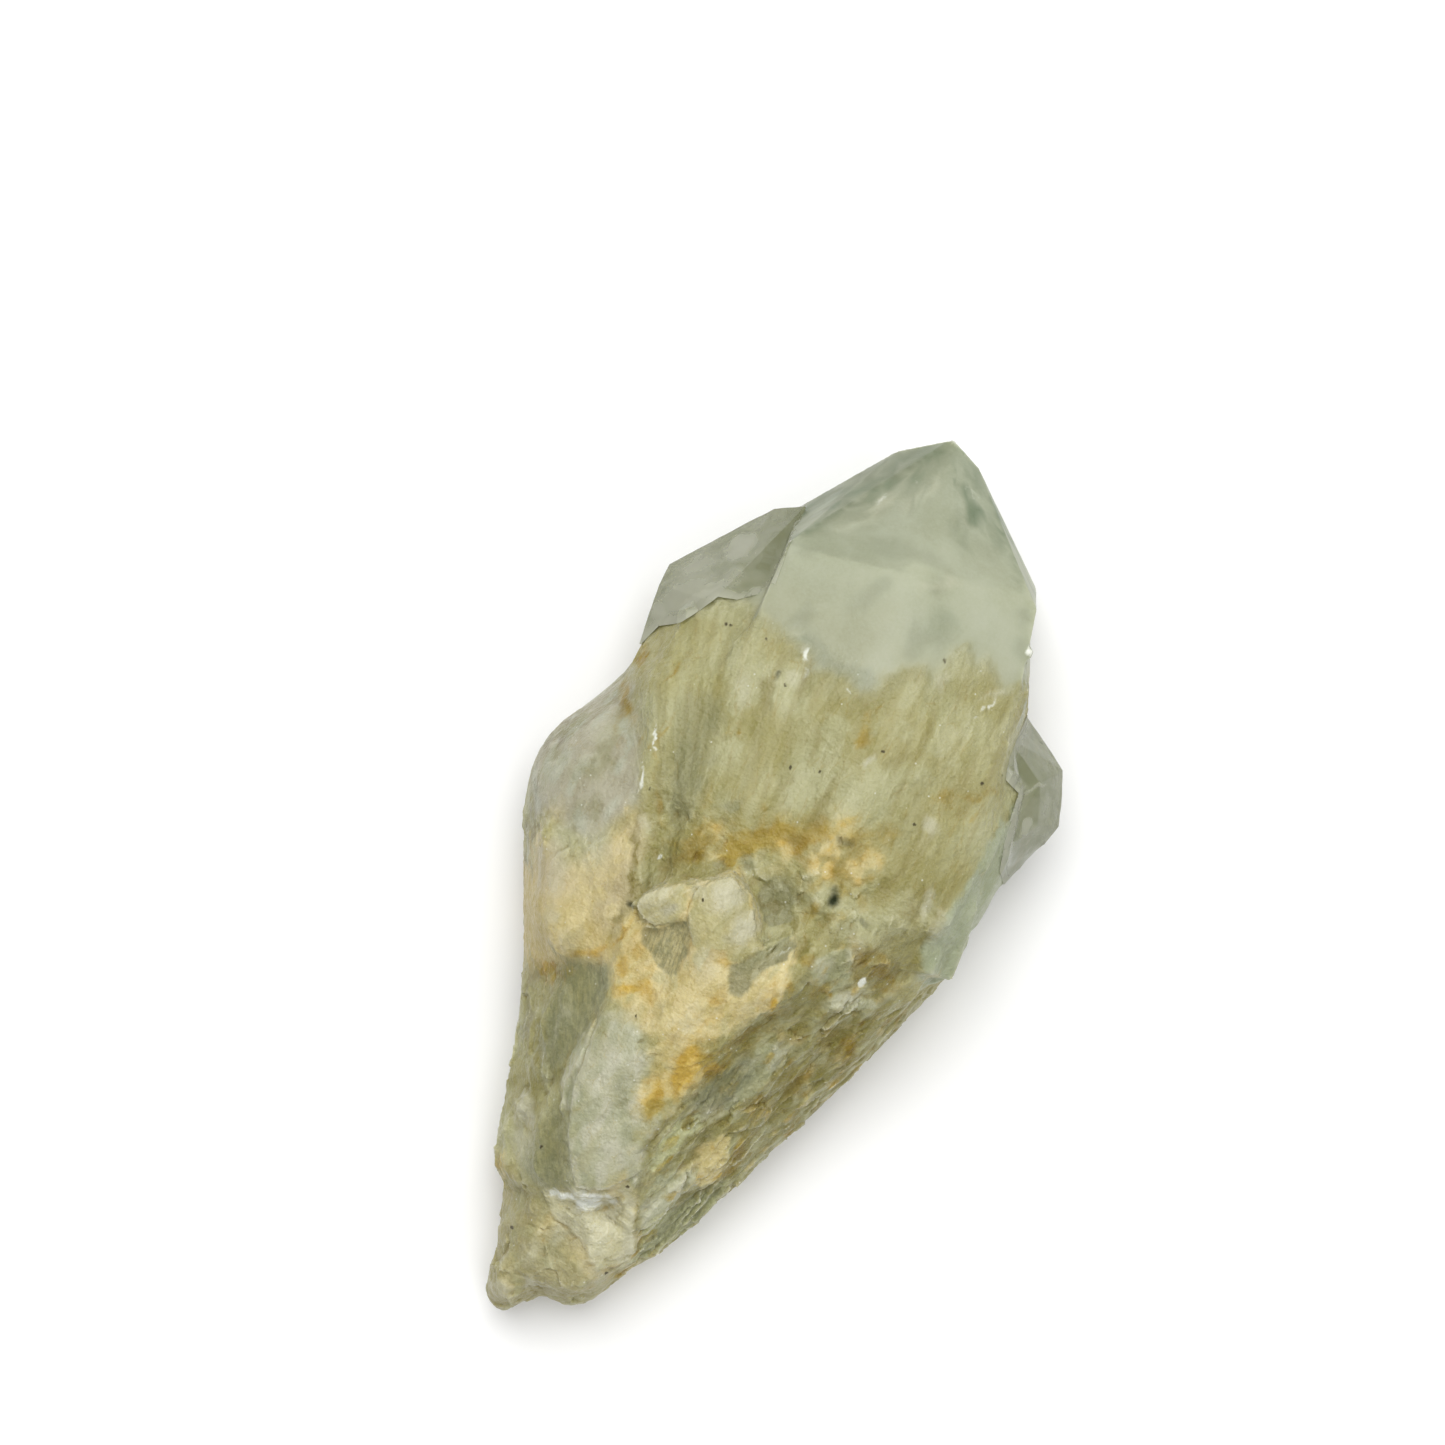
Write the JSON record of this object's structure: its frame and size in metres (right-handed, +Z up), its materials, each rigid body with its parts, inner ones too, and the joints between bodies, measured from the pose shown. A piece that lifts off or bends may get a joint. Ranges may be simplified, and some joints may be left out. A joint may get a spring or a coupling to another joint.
{
  "type": "citrine quartz cluster",
  "caption": "Natural citrine cluster: quartz crystals grown together, a milky main point, stained slender crystals and a broken lower end.",
  "frame": {"origin": "on the flat back face that the cluster lies on, under the middle of the broken hollow", "axes": "+Y towards the point of the main crystal, +Z up out of the surface it lies on"},
  "size_m": [0.0484, 0.094, 0.0285],
  "materials": {
    "quartz": "clear to milky quartz, glossy on crystal faces, dull cream and iron-stained where broken"
  },
  "bodies": {
    "root": {"citrine_cluster": "quartz"}
  },
  "joints": []
}
